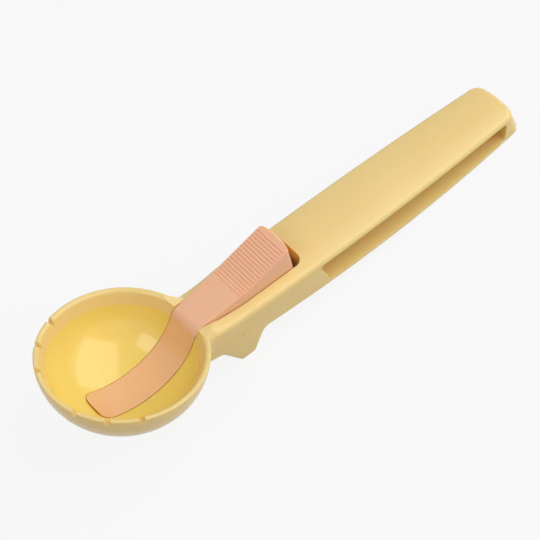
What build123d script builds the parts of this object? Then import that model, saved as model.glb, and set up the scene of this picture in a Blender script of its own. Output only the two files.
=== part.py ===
from build123d import *
import os
from math import acos, asin, atan2, cos, degrees, pi, radians, sin, sqrt, tan

os.makedirs("parts", exist_ok=True)

# Lever ice cream scoop, in millimetres. The row frame stands on the table: the origin is the
# middle of the foot's flat, +X runs towards the handle's end and +Z is up. The scoop itself is
# drawn in the tool's own x and z, which start at the middle of the bowl's rim: x runs along the
# handle and z is square to the rim. The tool lies tilted, on its foot and its handle's heel.

# How the scoop lies
rest_tilt = 15.47
foot_x = 42.6
foot_z = -21.6
heel_x = 154

# Bowl; a notch's depth is that of its V before the foot is rounded
rim_radius = 28
rim_wall = 3.0
bowl_depth = 23.3
floor_wall = 1.7
rim_round = 0.5
mouth_wall = 1.6
mouth_depth = 4.5
mouth_round = 1.5
notch_pairs = 3
notch_spacing = 22.5
notch_width = 2.0
notch_depth = 2.7
notch_round = 0.4

# Neck and handle
neck_start_x = 14
neck_half_width = 10.6
grip_half_width = 11.9
end_half_width = 9.6
widest_x = 77
tip_x = 161.1
tip_bow = 1.0
tip_slant = 25
corner_radius = 4.5
crest_root_z = -0.2
crest_join = (45, 1.1)
handle_rise = 10.2
saddle_radius = 40
saddle_z = -1.6
crown_radius = 45
shoulder_round = 2.0
underside_round = 0.8
underside_radius = 730
neck_bottom_z = -14.4
neck_blend = 6
blend_reach = 8

# Foot under the neck
foot_length = 5.4
foot_front_slope = 45
foot_rear_slope = 68
foot_toe_round = 1.5
foot_heel_round = 1.0
foot_front_blend = 3.0
foot_rear_blend = 3.5

# Side grooves of the handle
groove_start_x = 70.8
groove_end_x = 153.6
groove_lean = 5
web_thickness = 3.5
front_shoulder = 3.2
end_shoulder = 2.95
lip_thickness = 1.8
groove_round = 1.2

# Ejector lever
tail_end_x = -11.9
tail_half_width = 6.2
tail_corner = 3.2
tail_thickness = 0.8
tail_proud = 0.1
crook_depth = 5.7
crook_radius = 5.0
plate_start_x = 29.5
plate_mark = Vector(37, 2.2)
plate_rise = 19.7
plate_thickness = 2.0
pad_start_x = 43.8
pad_start_blend = 12
pad_rise = 26.5
pad_end_x = 62.1
pad_end_radius = 20
pad_end_round = 0.8
pad_half_width = 7.2
pad_corner = 1.4
rear_slant = 14.5
skirt_bottom_z = 2.0
skirt_front = Vector(33.5, -1.6)
skirt_thickness = 1.3
rear_wall = 1.6
rib_count = 17
rib_start_x = 42.0
rib_pitch = 1.1
rib_width = 0.55
rib_height = 0.22
rib_margin = 0.35

# Pivot
pivot = Vector(40.5, -9.5)
pin_radius = 1.25
pin_running_gap = 0.05
pin_end_wall = 1.2
pin_sunk = 0.5
pin_chamfer = 0.3
boss_radius = 3.6
cheek_thickness = 2.8
cheek_length = 10
mark_radius = 0.8
mark_rise = 0.25

# Return spring
wire_radius = 0.35
coil_radius = 2.1
coil_turns = 4.125
coil_pitch = 1.0
upper_leg_heading = 45
spring_gap = 0.1

# Clearances round the lever
side_gap = 0.25
under_gap = 0.2
well_wall = 2.0
well_front_x = 33.1
well_rear_x = 67.3
well_round = 3.0

tilt = radians(rest_tilt)
along = Vector(cos(tilt), 0, -sin(tilt))
square = Vector(sin(tilt), 0, cos(tilt))
rim_centre = -(along * foot_x + square * foot_z)
rim_plane = Plane(origin=rim_centre, x_dir=along, z_dir=square)
side_plane = Plane(origin=rim_centre, x_dir=along, z_dir=(0, -1, 0))
pivot_axis = Axis(side_plane.from_local_coords(pivot), (0, -1, 0))
beyond = 60
inner_radius = rim_radius - rim_wall
inner_depth = bowl_depth - floor_wall


def step(heading, length):
    """A move in tool x, z of that length along a heading in degrees."""
    return Vector(cos(radians(heading)), sin(radians(heading))) * length


def crossing(point, heading, other_point, other_heading):
    """Where two lines in tool x, z cross, each given by a point and a heading."""
    gap = Vector(other_point) - point
    away = step(other_heading, 1)
    reach = (gap.X * away.Y - gap.Y * away.X) / sin(radians(other_heading - heading))
    return point + step(heading, reach)


def corner(point):
    """The sketch's corner at a point or nearest to it."""
    return vertices().sort_by_distance(point)[0]


def side_corners():
    """The plan's corners that lie off its middle line."""
    return vertices().filter_by(lambda vertex: abs(vertex.Y) > tail_corner)


def underside(x):
    """Tool x, z on the handle's round underside, which touches the table at the heel."""
    touch = Vector(foot_x, foot_z) + step(rest_tilt, (heel_x - foot_x) / cos(tilt))
    middle = touch + step(rest_tilt + 90, underside_radius)
    return Vector(x, middle.Y - sqrt(underside_radius**2 - (x - middle.X) ** 2))


def crest(x, drop=0):
    """Tool x, z on the straight middle line of the handle's top, or below it."""
    return (x, crest_join[1] + (x - crest_join[0]) * tan(radians(handle_rise)) - drop)


def bowl_arc(radius, depth, start):
    """The bowl's elliptic outline from an angle in degrees down to its lowest point."""
    angles = [radians(start + (270 - start) * part / 8) for part in range(9)]
    ends = [(-radius * sin(angle), depth * cos(angle)) for angle in (angles[0], angles[-1])]
    return Spline([(radius * cos(a), depth * sin(a)) for a in angles], tangents=ends)


foot_toe = Vector(foot_x, foot_z) - step(rest_tilt, foot_length / 2)
foot_heel = Vector(foot_x, foot_z) + step(rest_tilt, foot_length / 2)
toe_root = crossing(foot_toe, -foot_front_slope, (0, neck_bottom_z), 0)
foot_height = underside(foot_heel.X).Y - foot_heel.Y
heel_root = underside(foot_heel.X + foot_height / tan(radians(foot_rear_slope)))
outline_end = underside(tip_x + beyond / 3)


def belly_outline():
    """Side outline of neck, foot and handle, left open high above their top."""
    with BuildSketch() as outline:
        with BuildLine():
            Polyline(
                (outline_end.X, beyond),
                (neck_start_x, beyond),
                (neck_start_x, neck_bottom_z),
                toe_root,
                foot_toe,
                foot_heel,
                heel_root,
            )
            ThreePointArc(heel_root, underside((foot_x + tip_x) / 2), outline_end)
            Line(outline_end, (outline_end.X, beyond))
        make_face()
        fillet(corner(toe_root), foot_front_blend)
        fillet(corner(foot_toe), foot_toe_round)
        fillet(corner(foot_heel), foot_heel_round)
        fillet(corner(heel_root), foot_rear_blend)
    return outline.sketch


# The lever's upper line: an ellipse along the bowl's inside, flat across and level with the
# bowl at its edges, a steep climb past the rim, a round crook, a gentle climb along the neck
# and the thumb pad's steeper climb.
chord = sqrt(1 - (tail_half_width / inner_radius) ** 2)
tail_a = inner_radius * chord - tail_proud
tail_b = inner_depth * chord - tail_proud
crook_turn = asin(crook_depth / tail_b)
crook_foot = Vector(tail_a * cos(crook_turn), -crook_depth)
steep = degrees(atan2(tail_b * cos(crook_turn), tail_a * sin(crook_turn)))
pad_start = crossing(plate_mark, plate_rise, (pad_start_x, 0), 90)
pad_end = crossing(pad_start, pad_rise, (pad_end_x, 0), 90)
pad_rear = crossing(pad_end, rear_slant - 90, (0, skirt_bottom_z), 0)


def lowered(point, heading, drop):
    """A point of the lever's upper line moved square to its heading, into the lever."""
    return point + step(heading - 90, drop)


def above_lever(tail_drop, plate_drop):
    """Side outline of the space above the lever's upper line lowered by those depths."""
    tail_turn = acos(tail_end_x / tail_a) + radians(10)
    plate_end = crossing(lowered(plate_mark, plate_rise, plate_drop), plate_rise, pad_start, 90)
    bend = crossing(lowered(crook_foot, steep, plate_drop), steep, plate_end, plate_rise)
    with BuildSketch() as outline:
        with BuildLine():
            tail = EllipticalCenterArc(
                (0, 0),
                tail_a + tail_drop,
                tail_b + tail_drop,
                start_angle=-degrees(tail_turn),
                arc_size=degrees(tail_turn - crook_turn),
            )
            top = ((tail @ 0).X, beyond)
            Polyline(tail @ 1, bend, plate_end, (plate_end.X, beyond), top, tail @ 0)
        make_face()
        fillet(corner(bend), crook_radius - plate_drop)
    return outline.sketch


def lever_plan(gap):
    """Plan of the lever from its round tail to the well's rear end, grown by a gap."""
    with BuildSketch() as outline:
        with BuildLine():
            half = Polyline(
                (well_rear_x, 0),
                (well_rear_x, pad_half_width + gap),
                (pad_start_x, pad_half_width + gap),
                (plate_start_x, tail_half_width + gap),
                (tail_end_x - gap, tail_half_width + gap),
                (tail_end_x - gap, 0),
            )
            mirror(half, Plane.XZ)
        make_face()
        fillet(side_corners().group_by(Axis.X)[0], tail_corner + gap)
        fillet(side_corners().group_by(Axis.X)[-1], well_round)
    return outline.sketch


def pad_plan():
    """Plan of the thumb pad with its bowed end, at the level of its skirts' lower edge."""
    with BuildSketch() as outline:
        with Locations((pad_rear.X - pad_end_radius, 0)):
            Circle(pad_end_radius)
            Rectangle(2 * pad_end_radius, 2 * pad_half_width, mode=Mode.INTERSECT)
        fillet(side_corners().group_by(Axis.X)[-1], pad_corner)
    return outline.sketch


def pad_outline():
    """Side outline of the thumb pad and its skirts, as if they were solid."""
    pad_front = crossing(skirt_front, 90, plate_mark, plate_rise)
    with BuildSketch() as outline:
        with BuildLine():
            Polyline(pad_front, pad_start, pad_end, pad_rear, skirt_front, close=True)
        make_face()
        fillet(corner(pad_start), pad_start_blend)
        fillet(corner(pad_end), pad_end_round)
    return outline.sketch


low_plane = rim_plane.offset(-beyond)

# The room that the lever takes in the scoop: a shallow seat along the bowl and over the rim,
# and a deep well in the neck, which follows the foot's outline from inside.
with BuildPart() as lever_room:
    with BuildSketch(side_plane):
        add(above_lever(tail_thickness + under_gap, plate_thickness + under_gap))
    extrude(amount=beyond, both=True)
    with BuildSketch(side_plane):
        add(offset(belly_outline(), -well_wall))
        with Locations(((well_front_x + well_rear_x) / 2, 0)):
            Rectangle(well_rear_x - well_front_x, 2 * beyond, mode=Mode.INTERSECT)
    extrude(amount=beyond, both=True)
    with BuildSketch(low_plane):
        add(lever_plan(side_gap))
    extrude(amount=2 * beyond, mode=Mode.INTERSECT)

# The tip leans back: the handle's plan is true at the height of the tip's lower edge, and the
# walls rise along the lean.
lean = square - along * tan(radians(tip_slant))
plan_plane = Plane(
    origin=rim_centre + square * underside(tip_x).Y - lean * beyond, x_dir=along, z_dir=square
)
crest_end = crest(outline_end.X)
crest_way = step(handle_rise, 1)
crest_plane = Plane(
    origin=side_plane.from_local_coords(crest_end),
    x_dir=(0, 1, 0),
    z_dir=along * crest_way.X + square * crest_way.Y,
)

with BuildPart() as scoop_body:
    # Neck and handle: plan, side outline and crowned top together
    with BuildSketch(plan_plane):
        with BuildLine():
            start = (neck_start_x, neck_half_width)
            end = (tip_x, end_half_width)
            side = ThreePointArc(start, (widest_x, grip_half_width), end)
            ThreePointArc(end, (tip_x + tip_bow, 0), (tip_x, -end_half_width))
            mirror(side, Plane.XZ)
            Line((neck_start_x, -neck_half_width), start)
        make_face()
        fillet(vertices().group_by(Axis.X)[-1], corner_radius)
    extrude(amount=2 * beyond, dir=lean)
    with BuildSketch(side_plane):
        add(belly_outline())
    extrude(amount=beyond, both=True, mode=Mode.INTERSECT)
    with BuildLine(side_plane):
        root = (neck_start_x, crest_root_z)
        TangentArc(crest_join, root, tangent=step(handle_rise + 180, 1))
        Line(crest_join, crest_end)
    with BuildSketch(crest_plane):
        with Locations((0, -crown_radius)):
            Circle(crown_radius)
            Rectangle(beyond / 2, 2 * crown_radius + 1, mode=Mode.INTERSECT)
    sweep(mode=Mode.INTERSECT)
    crown = faces().filter_by(lambda face: face.normal_at().dot(square) > 0.9)
    fillet(crown.edges().filter_by(GeomType.CIRCLE, reverse=True), shoulder_round)

    # The bowl's outside goes on above the rim while it is blended to the neck, and all above
    # the rim's level is then cut away.
    with BuildSketch(side_plane):
        with BuildLine():
            outside = bowl_arc(rim_radius, bowl_depth, 160)
            Polyline(outside @ 0, (0, (outside @ 0).Y), outside @ 1)
        make_face()
    revolve(axis=Axis(rim_centre, square))
    bowl = faces().filter_by(GeomType.REVOLUTION).sort_by(SortBy.AREA)[-1]
    meeting = bowl.edges().filter_by(
        lambda edge: edge.geom_type == GeomType.BSPLINE
        and rim_plane.to_local_coords(edge.center()).X > neck_start_x
    )
    fillet(meeting.sort_by(Axis(rim_centre, square))[1:], neck_blend)
    with BuildSketch(rim_plane):
        with Locations((rim_radius + blend_reach - beyond, 0)):
            Rectangle(2 * beyond, 2 * beyond)
    extrude(amount=beyond, mode=Mode.SUBTRACT)
    # The bowl's inside, which flares a little more at its mouth
    with BuildSketch(side_plane):
        with BuildLine():
            inside = bowl_arc(inner_radius, inner_depth, 180 + degrees(asin(mouth_depth / inner_depth)))
            mouth_foot = inside @ 0
            mouth_top = mouth_foot + (Vector(mouth_wall - rim_radius, 0) - mouth_foot) * 2
            Polyline(mouth_foot, mouth_top, (0, mouth_top.Y), inside @ 1)
        make_face()
    revolve(axis=Axis(rim_centre, square), mode=Mode.SUBTRACT)
    rim = faces().filter_by(GeomType.PLANE).sort_by(Axis(rim_centre, square))[-1]
    fillet(rim.outer_wire().edges(), rim_round)
    rim = faces().filter_by(GeomType.PLANE).sort_by(Axis(rim_centre, square))[-1]
    fillet(rim.inner_wires()[0].edges(), mouth_round)
    belly = faces().filter_by(
        lambda face: face.geom_type in (GeomType.PLANE, GeomType.CYLINDER)
        and face.normal_at().dot(square) < -0.2
    )
    lower_edges = belly.edges().filter_by(
        lambda edge: edge.geom_type == GeomType.BSPLINE
        and side_plane.to_local_coords(edge.center()).X > rim_radius - neck_blend
    )
    fillet(lower_edges, underside_round)

    # A shallow saddle where the neck's top runs over the rim
    with BuildSketch(Plane(origin=rim_centre, x_dir=(0, 1, 0), z_dir=along)):
        with Locations((0, saddle_z + saddle_radius)):
            Circle(saddle_radius)
    extrude(amount=rim_radius + neck_blend, mode=Mode.SUBTRACT)

    # The notches in the rim
    for pair in range(1, notch_pairs + 1):
        for bearing in (180 - pair * notch_spacing, 180 + pair * notch_spacing):
            outward = step(bearing, 1)
            notch_plane = Plane(
                origin=rim_centre,
                x_dir=Vector(0, outward.X, 0) - along * outward.Y,
                z_dir=along * outward.X + Vector(0, outward.Y, 0),
            )
            with BuildSketch(notch_plane):
                with BuildLine():
                    Polyline(
                        (0, -notch_depth),
                        (notch_width, notch_depth),
                        (-notch_width, notch_depth),
                        close=True,
                    )
                make_face()
                fillet(corner(Vector(0, -notch_depth)), notch_round)
            extrude(amount=rim_radius + notch_width, mode=Mode.SUBTRACT)

    # Both side grooves of the handle, with a web left between them
    for way in (-1, 1):
        with BuildSketch(side_plane.offset(way * web_thickness / 2)):
            with BuildLine():
                low_start_x = groove_start_x + groove_lean
                stations = (low_start_x, (low_start_x + groove_end_x) / 2, groove_end_x)
                lip = ThreePointArc([underside(x) + Vector(0, lip_thickness) for x in stations])
                Polyline(
                    lip @ 1,
                    crest(groove_end_x, end_shoulder),
                    crest(groove_start_x, front_shoulder),
                    lip @ 0,
                )
            make_face()
            fillet(vertices(), groove_round)
        extrude(amount=way * beyond, mode=Mode.SUBTRACT)

    # The lever's room, the pin's bore through the far wall and into the near one, and a
    # slightly raised round mark on the near wall over the bore's blind end
    add(lever_room.part, mode=Mode.SUBTRACT)
    hits = scoop_body.part.find_intersection_points(pivot_axis)
    wall_y = max(point.Y for point, _ in hits)
    with BuildSketch(side_plane.offset(wall_y - pin_end_wall)):
        with Locations(pivot):
            Circle(pin_radius)
    extrude(amount=-2 * wall_y, mode=Mode.SUBTRACT)
    with BuildSketch(side_plane.offset(wall_y - pin_end_wall / 2)):
        with Locations(pivot):
            Circle(mark_radius)
    extrude(amount=pin_end_wall / 2 + mark_rise)

scoop_body.part.label = "scoop_body"
export_step(scoop_body.part, "parts/scoop_body.step")

with BuildPart() as ejector_lever:
    # Thumb pad with a bowed end that leans like the pad's rear, its upper edge rounded
    with BuildSketch(side_plane):
        add(pad_outline())
    extrude(amount=beyond, both=True)
    with BuildSketch(rim_plane.offset(skirt_bottom_z)):
        add(pad_plan())
    rear_lean = square - along * tan(radians(rear_slant))
    extrude(amount=beyond, dir=rear_lean, both=True, mode=Mode.INTERSECT)
    # Tail and neck plate, trimmed to the plan
    with BuildSketch(side_plane):
        add(above_lever(tail_thickness, plate_thickness))
        add(above_lever(0, 0), mode=Mode.SUBTRACT)
    extrude(amount=beyond, both=True)
    with BuildSketch(low_plane):
        add(lever_plan(0))
    extrude(amount=2 * beyond, mode=Mode.INTERSECT)

    # The hollow under the pad, between its skirts
    ceiling = lowered(pad_start, pad_rise, plate_thickness)
    rear_inside = pad_rear - step(-rear_slant, rear_wall)
    front_ceiling = lowered(plate_mark, plate_rise, plate_thickness)
    hollow_front = crossing(skirt_front, 90, front_ceiling, plate_rise)
    ceiling_bend = crossing(front_ceiling, plate_rise, ceiling, pad_rise)
    ceiling_rear = crossing(ceiling, pad_rise, rear_inside, rear_slant - 90)
    hollow_rear = crossing(rear_inside, rear_slant - 90, (0, -beyond), 0)
    with BuildSketch(side_plane):
        with BuildLine():
            Polyline(
                hollow_front,
                ceiling_bend,
                ceiling_rear,
                hollow_rear,
                (hollow_front.X, -beyond),
                close=True,
            )
        make_face()
    extrude(amount=tail_half_width - skirt_thickness, both=True, mode=Mode.SUBTRACT)

    # Two cheeks that carry the pin's bearings
    cheek_front = crossing(pivot - Vector(boss_radius, 0), 90, front_ceiling, plate_rise)
    cheek_rear = crossing(cheek_front + Vector(cheek_length, 0), 90, ceiling, plate_rise)
    for way in (-1, 1):
        with BuildSketch(side_plane.offset(way * (tail_half_width - cheek_thickness))):
            with Locations(pivot):
                Circle(boss_radius)
            with BuildLine():
                Polyline(
                    pivot - Vector(boss_radius, 0),
                    cheek_front,
                    cheek_rear,
                    pivot + Vector(boss_radius, 0),
                    close=True,
                )
            make_face()
            with Locations(pivot):
                Circle(pin_radius + pin_running_gap, mode=Mode.SUBTRACT)
        extrude(amount=way * cheek_thickness)

    # Grip ribs across the pad
    with BuildSketch(side_plane):
        for rib in range(rib_count):
            rib_x = rib_start_x + rib * rib_pitch
            foot, rise = (plate_mark, plate_rise) if rib_x < pad_start_x else (pad_start, pad_rise)
            with Locations(Location(crossing(foot, rise, (rib_x, 0), 90), rise)):
                RectangleRounded(rib_width, 2 * rib_height, rib_height / 2)
    extrude(amount=pad_half_width - rib_margin, both=True)

ejector_lever.part.label = "ejector_lever"
export_step(ejector_lever.part, "parts/ejector_lever.step")

with BuildPart() as pivot_pin:
    with BuildSketch(side_plane.offset(wall_y - pin_end_wall)):
        with Locations(pivot):
            Circle(pin_radius)
    extrude(amount=-(2 * wall_y - pin_end_wall - pin_sunk))
    chamfer(edges().filter_by(GeomType.CIRCLE), pin_chamfer)

pivot_pin.part.label = "pivot_pin"
export_step(pivot_pin.part, "parts/pivot_pin.step")

# The spring's wire: a coil round the pin, a long leg that props the pad and a short one
# against the inside of the foot's front
climb = atan2(coil_pitch, 2 * pi * coil_radius)
lower_leg_heading = upper_leg_heading + 360 * coil_turns + 180
upper_leaving = pivot + step(upper_leg_heading + 90, coil_radius)
lower_leaving = pivot + step(lower_leg_heading - 90, coil_radius)
under_pad = lowered(pad_start, pad_rise, plate_thickness + spring_gap + wire_radius)
behind_front = foot_toe + step(90 - foot_front_slope, well_wall + spring_gap + wire_radius)
upper_tip = crossing(upper_leaving, upper_leg_heading, under_pad, pad_rise)
lower_tip = crossing(lower_leaving, lower_leg_heading, behind_front, -foot_front_slope)
upper_leg = (upper_tip - upper_leaving).length / cos(climb)
lower_leg = (lower_tip - lower_leaving).length / cos(climb)
coil_start = step(upper_leg_heading + 90, 1)
coil_plane = Plane(
    origin=pivot_axis.position + Vector(0, coil_turns * coil_pitch / 2, 0),
    x_dir=along * coil_start.X + square * coil_start.Y,
    z_dir=(0, -1, 0),
)
coil = Helix(coil_pitch, coil_turns * coil_pitch, coil_radius)
upper_wire = Line(coil @ 0 - coil % 0 * upper_leg, coil @ 0)
lower_wire = Line(coil @ 1, coil @ 1 + coil % 1 * lower_leg)
wire = coil_plane * Wire([upper_wire.edge(), *coil.edges(), lower_wire.edge()])

with BuildPart() as return_spring:
    with BuildSketch(Plane(origin=wire @ 0, z_dir=wire % 0)):
        Circle(wire_radius)
    sweep(path=wire)

return_spring.part.label = "return_spring"
export_step(return_spring.part, "parts/return_spring.step")
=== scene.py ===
import math

import bmesh
import bpy
import numpy as np
from mathutils import Matrix, Vector


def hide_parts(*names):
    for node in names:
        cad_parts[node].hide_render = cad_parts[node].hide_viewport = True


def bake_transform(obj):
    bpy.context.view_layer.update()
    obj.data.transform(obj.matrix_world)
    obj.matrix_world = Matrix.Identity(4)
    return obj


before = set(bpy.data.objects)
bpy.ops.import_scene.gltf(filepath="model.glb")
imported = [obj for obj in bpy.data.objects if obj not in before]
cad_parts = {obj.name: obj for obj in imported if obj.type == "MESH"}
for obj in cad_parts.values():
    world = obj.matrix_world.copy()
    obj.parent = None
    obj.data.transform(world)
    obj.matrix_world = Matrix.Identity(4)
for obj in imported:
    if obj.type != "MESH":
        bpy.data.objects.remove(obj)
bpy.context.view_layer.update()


# ---------------------------------------------------------------------------
# Moulded body
# The bowl, neck and handle are one injection moulding in pale custard-yellow
# plastic, with a satin skin outside and a polished bowl. It lies on its foot and
# the heel of its handle.

class Wire:
    """A socket's value in one node tree, with Math nodes behind the operators."""

    def __init__(self, tree, value):
        self.tree = tree
        self.value = value

    def node(self, kind, settings=None, sockets=None, out=0):
        """Adds a node, applies its settings, fills its sockets and returns an output."""
        made = self.tree.nodes.new(kind)
        for name, value in (settings or {}).items():
            setattr(made, name, value)
        for name, value in (sockets or {}).items():
            if isinstance(value, Wire):
                value.into(made.inputs[name])
            else:
                made.inputs[name].default_value = value
        return Wire(self.tree, made.outputs[out])

    def into(self, socket):
        """Feeds this value to a socket."""
        self.tree.links.new(self.value, socket)

    def math(self, operation, *values):
        return self.node("ShaderNodeMath", {"operation": operation}, dict(enumerate(values)))

    def __add__(self, other):
        return self.math("ADD", self, other)

    def __sub__(self, other):
        return self.math("SUBTRACT", self, other)

    def __mul__(self, other):
        return self.math("MULTIPLY", self, other)

    def __radd__(self, other):
        return self.math("ADD", other, self)

    def __rsub__(self, other):
        return self.math("SUBTRACT", other, self)

    def __rmul__(self, other):
        return self.math("MULTIPLY", other, self)

    def smooth(self, low, high):
        """0 below low and 1 above high, with an eased step between."""
        eased = {"interpolation_type": "SMOOTHSTEP"}
        return self.node("ShaderNodeMapRange", eased, {"Value": self, "From Min": low, "From Max": high})

    def blend(self, first, second):
        """The colour between two colours at this mask."""
        return self.node("ShaderNodeMix", {"data_type": "RGBA"}, {0: self, 6: first, 7: second}, out=2)

    def noise(self, place, scale, detail=2.0):
        """Noise from 0 to 1 at a place, with this many features to the metre."""
        return self.node("ShaderNodeTexNoise", None, {"Vector": place, "Scale": scale, "Detail": detail})


def linear(red, green, blue):
    """A colour as seen, from 0 to 255, turned to linear light, with full alpha."""
    seen = np.array([red, green, blue]) / 255
    light = np.where(seen <= 0.04045, seen / 12.92, ((seen + 0.055) / 1.055) ** 2.4)
    return (*light.tolist(), 1.0)


def start_material(name):
    """A new material, its shader and a wire into its node tree."""
    material = bpy.data.materials.new(name)
    material.use_nodes = True
    tree = material.node_tree
    return material, tree.nodes["Principled BSDF"], Wire(tree, None)


def dress(node, material):
    """Gives a node one material in place of its own."""
    node.data.materials.clear()
    node.data.materials.append(material)


# At rest the rim leans by rest_tilt, about its middle. The bowl's hollow is half an
# ellipsoid with a flared mouth.
rest_tilt = math.radians(15.47)
rim_centre = (-0.0352952, 0.0, 0.0321803)
bowl_radius = 0.025
bowl_depth = 0.0216
mouth_depth = 0.0045


def inside_bowl(wire, place):
    """1 on what lines the bowl below its flared mouth: there the distance from the rim's
    middle, counted in the bowl's own radius and depth, is about 1, and the level is
    lower than the mouth's."""
    lining_edge = (1.03, 1.05)
    mouth_edge = (-mouth_depth - 0.0002, -mouth_depth + 0.0001)
    level = wire.node(
        "ShaderNodeMapping",
        {"vector_type": "TEXTURE"},
        {"Vector": place, "Location": rim_centre, "Rotation": (0.0, rest_tilt, 0.0)},
    )
    hollow_size = (bowl_radius, bowl_radius, bowl_depth)
    shares = wire.node("ShaderNodeVectorMath", {"operation": "DIVIDE"}, {0: level, 1: hollow_size})
    reach = wire.node("ShaderNodeVectorMath", {"operation": "LENGTH"}, {0: shares}, out="Value")
    height = wire.node("ShaderNodeSeparateXYZ", None, {"Vector": level}, out="Z")
    return (1 - height.smooth(*mouth_edge)) * (1 - reach.smooth(*lining_edge))


def satin_plastic(name, deep, pale, painted_bowl_glow, painted_hollow_shade):
    """Moulded plastic: a faint cloud of tone, flow streaks along the moulding, a fine
    spark-eroded grain in the skin and light that sinks in a little. It is polished where
    it lines the bowl, and there a richer colour is painted in as glow of light bounced
    round the bowl; narrow hollows get a deeper colour, painted shade and glow for light passed through the
    plastic."""
    hollow_width = 0.008
    painted_shade_range = (0.35, 0.95)
    tone_range = (0.3, 0.7)
    satin, grain_share, streak_share = 0.22, 0.06, 0.03
    polished_off = 0.6
    skin_depth = 0.00004

    material, shader, wire = start_material(name)
    place = wire.node("ShaderNodeTexCoord", out="Object")
    flow = wire.node("ShaderNodeMapping", None, {"Vector": place, "Scale": (14.0, 90.0, 90.0)})
    cloud = wire.noise(place, scale=22.0, detail=3.0)
    streak = wire.noise(flow, scale=1.0)
    grain = wire.noise(place, scale=2600.0)
    orange_peel = wire.noise(place, scale=240.0)
    openness = wire.node("ShaderNodeAmbientOcclusion", {"samples": 8}, {"Distance": hollow_width}, out="AO")

    bowl_polish_and_glow = inside_bowl(wire, place)
    tone = (cloud * 0.6 + streak * 0.4).smooth(*tone_range)
    # Painted light: inside the bowl the colour blends to a richer one that stands in for light bounced
    # round the bowl.
    color_with_bowl_glow = bowl_polish_and_glow.blend(tone.blend(deep, pale), painted_bowl_glow)
    # Painted shade and glow: in narrow hollows found by ambient occlusion a deeper orange is painted into
    # the colour.
    (1 - openness).smooth(*painted_shade_range).blend(color_with_bowl_glow, painted_hollow_shade).into(shader.inputs["Base Color"])
    rough = satin + grain_share * grain + streak_share * streak
    ((1 - polished_off * bowl_polish_and_glow) * rough).into(shader.inputs["Roughness"])
    relief = {"Strength": 0.12, "Distance": skin_depth, "Height": grain * 0.5 + orange_peel}
    wire.node("ShaderNodeBump", None, relief).into(shader.inputs["Normal"])
    shader.inputs["IOR"].default_value = 1.48
    shader.inputs["Subsurface Weight"].default_value = 0.35
    shader.inputs["Subsurface Radius"].default_value = (1.0, 0.6, 0.25)
    shader.inputs["Subsurface Scale"].default_value = 0.004
    return material


body_plastic = satin_plastic(
    "body_plastic",
    deep=linear(236, 206, 133),
    pale=linear(239, 210, 140),
    # The next colour is painted glow of light bounced round the bowl.
    painted_bowl_glow=linear(242, 214, 112),
    # The next colour is painted shade and glow in narrow hollows.
    painted_hollow_shade=linear(250, 200, 62),
)
dress(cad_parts["scoop_body"], body_plastic)


# ---------------------------------------------------------------------------
# Ejector lever
# One apricot moulding that turns on the pin: a ribbed thumb pad whose skirts go down
# into the neck, and a thin tail inlaid in the bowl, which pushes the ice cream out.

lever_plastic = satin_plastic(
    "lever_plastic",
    deep=linear(247, 186, 148),
    pale=linear(249, 191, 155),
    # The next colour is painted glow of light bounced round the bowl and through the tail.
    painted_bowl_glow=linear(252, 189, 139),
    # The next colour is painted shade and glow in narrow hollows.
    painted_hollow_shade=linear(250, 160, 70),
)
dress(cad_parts["ejector_lever"], lever_plastic)


# ---------------------------------------------------------------------------
# Pin and spring
# A ground steel pin crosses the neck, and a spring wound from drawn wire sits round
# it. The spring is out of sight, and so is the pin but for one end.

def drawn_steel(name, color, roughness):
    """Drawn steel: fine scratches in its sheen and a light dull bloom."""
    dimmed, bloom_range, scratch_share = 0.8, (0.35, 0.7), 0.12
    material, shader, wire = start_material(name)
    place = wire.node("ShaderNodeTexCoord", out="Object")
    scratch = wire.noise(place, scale=900.0, detail=4.0)
    bloom = wire.noise(place, scale=130.0)
    dull = (*(dimmed * part for part in color[:3]), 1.0)
    bloom.smooth(*bloom_range).blend(color, dull).into(shader.inputs["Base Color"])
    (roughness + scratch_share * scratch).into(shader.inputs["Roughness"])
    shader.inputs["Metallic"].default_value = 1.0
    return material


steel_gray = linear(190, 190, 186)
steel_roughness = 0.22
dress(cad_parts["pivot_pin"], drawn_steel("pin_steel", steel_gray, steel_roughness))

return_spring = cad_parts["return_spring"]
wound = bmesh.new()
wound.from_mesh(return_spring.data)
wound.transform(return_spring.matrix_world)
bmesh.ops.remove_doubles(wound, verts=wound.verts, dist=1e-6)
spring_mesh = bpy.data.meshes.new("spring_wire")
wound.to_mesh(spring_mesh)
wound.free()
spring_wire = bpy.data.objects.new("spring_wire", spring_mesh)
bpy.context.scene.collection.objects.link(spring_wire)
dress(spring_wire, drawn_steel("spring_steel", steel_gray, steel_roughness))
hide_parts("return_spring")
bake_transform(spring_wire)


# ---------------------------------------------------------------------------
# Table
# A wide sheet of white paper under the scoop. It looks plain white and keeps the
# scoop's soft shadow.

def shown_plain(wire):
    """1 on a ray that shows its end: straight to the camera, mirrored or through glass."""
    straight = wire.node("ShaderNodeLightPath", out="Is Camera Ray")
    mirrored = wire.node("ShaderNodeLightPath", out="Is Glossy Ray")
    through = wire.node("ShaderNodeLightPath", out="Is Transmission Ray")
    return wire.math("MAXIMUM", straight, wire.math("MAXIMUM", mirrored, through))


table_size = 3.0
paper_gray = 0.55
glow_share = 0.88

corners = table_size * np.array([[-1, -1, 0], [1, -1, 0], [1, 1, 0], [-1, 1, 0]]) / 2
sheet = bpy.data.meshes.new("table")
sheet.from_pydata(corners.tolist(), [], [(0, 1, 2, 3)])
table = bpy.data.objects.new("table", sheet)
bpy.context.scene.collection.objects.link(table)

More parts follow.
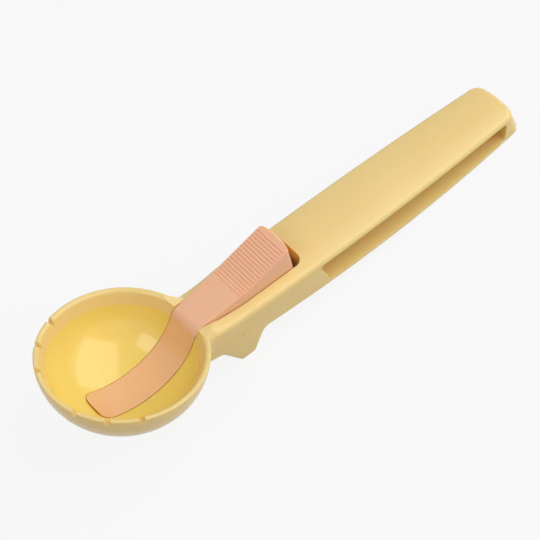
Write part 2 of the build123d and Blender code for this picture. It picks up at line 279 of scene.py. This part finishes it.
paper, paper_shader, paper_wire = start_material("table_white")
paper_shader.inputs["Base Color"].default_value = (paper_gray, paper_gray, paper_gray, 1.0)
paper_shader.inputs["Roughness"].default_value = 0.9
matt = Wire(paper.node_tree, paper_shader.outputs["BSDF"])
glow = paper_wire.node("ShaderNodeEmission", None, {"Color": (1.0, 1.0, 1.0, 1.0), "Strength": 1.0})
plain = shown_plain(paper_wire) * glow_share
mixed = paper_wire.node("ShaderNodeMixShader", None, {0: plain, 1: matt, 2: glow})
mixed.into(paper.node_tree.nodes["Material Output"].inputs["Surface"])
sheet.materials.append(paper)


# ---------------------------------------------------------------------------
# Camera and lamps
# A long lens looks down on the scoop from its near side. A large softbox stands on
# the right and a small one on the left, both facing the bowl, in a white room.

azimuth = math.radians(-39.492)
elevation = math.radians(47.181)
roll = math.radians(1.315)
distance = 0.652576
aim = np.array([0.058777, -0.000811, 0.0])
focal_length = 133.33
sensor_width = 36.0

# The camera is set out in the tool's own frame: from the rim's middle, with the axes
# along the handle, across it and square to the rim, which are this matrix's columns.
tool_axes = np.array(
    [
        [math.cos(rest_tilt), 0.0, math.sin(rest_tilt)],
        [0.0, 1.0, 0.0],
        [-math.sin(rest_tilt), 0.0, math.cos(rest_tilt)],
    ]
)
back = np.array(
    [
        math.sin(azimuth) * math.cos(elevation),
        -math.cos(azimuth) * math.cos(elevation),
        math.sin(elevation),
    ]
)
level = np.array([math.cos(azimuth), math.sin(azimuth), 0.0])
upright = np.cross(back, level)
right = level * math.cos(roll) + upright * math.sin(roll)
above = upright * math.cos(roll) - level * math.sin(roll)

lens = bpy.data.cameras.new("camera")
lens.lens = focal_length
lens.sensor_width = sensor_width
camera = bpy.data.objects.new("camera", lens)
bpy.context.scene.collection.objects.link(camera)
pose = np.eye(4)
pose[:3, :3] = tool_axes @ np.column_stack([right, above, back])
pose[:3, 3] = np.array(rim_centre) + tool_axes @ (aim + distance * back)
camera.matrix_world = Matrix(pose.tolist())
bpy.context.scene.camera = camera

softbox_reach = 1.1


def softbox(name, direction, size, power):
    """A softbox in a direction from the bowl, facing the bowl."""
    lamp = bpy.data.lights.new(name, "AREA")
    lamp.shape = "RECTANGLE"
    lamp.size, lamp.size_y = size
    lamp.energy = power
    holder = bpy.data.objects.new(name, lamp)
    way = Vector(direction).normalized()
    holder.location = Vector(rim_centre) + way * softbox_reach
    holder.rotation_euler = way.to_track_quat("Z", "Y").to_euler()
    bpy.context.scene.collection.objects.link(holder)


softbox("softbox_right", direction=(0.62, -0.38, 0.68), size=(1.5, 1.2), power=11.0)
softbox("softbox_left", direction=(-0.55, -0.1, 0.82), size=(0.5, 0.5), power=2.3)

room_light = 0.32
room = bpy.data.worlds.new("studio")
bpy.context.scene.world = room
room.use_nodes = True
dome = room.node_tree.nodes["Background"]
dome.inputs["Color"].default_value = (1.0, 1.0, 1.0, 1.0)
shown = shown_plain(Wire(room.node_tree, None))
(room_light + (1 - room_light) * shown).into(dome.inputs["Strength"])

bpy.context.scene.view_settings.view_transform = "Standard"
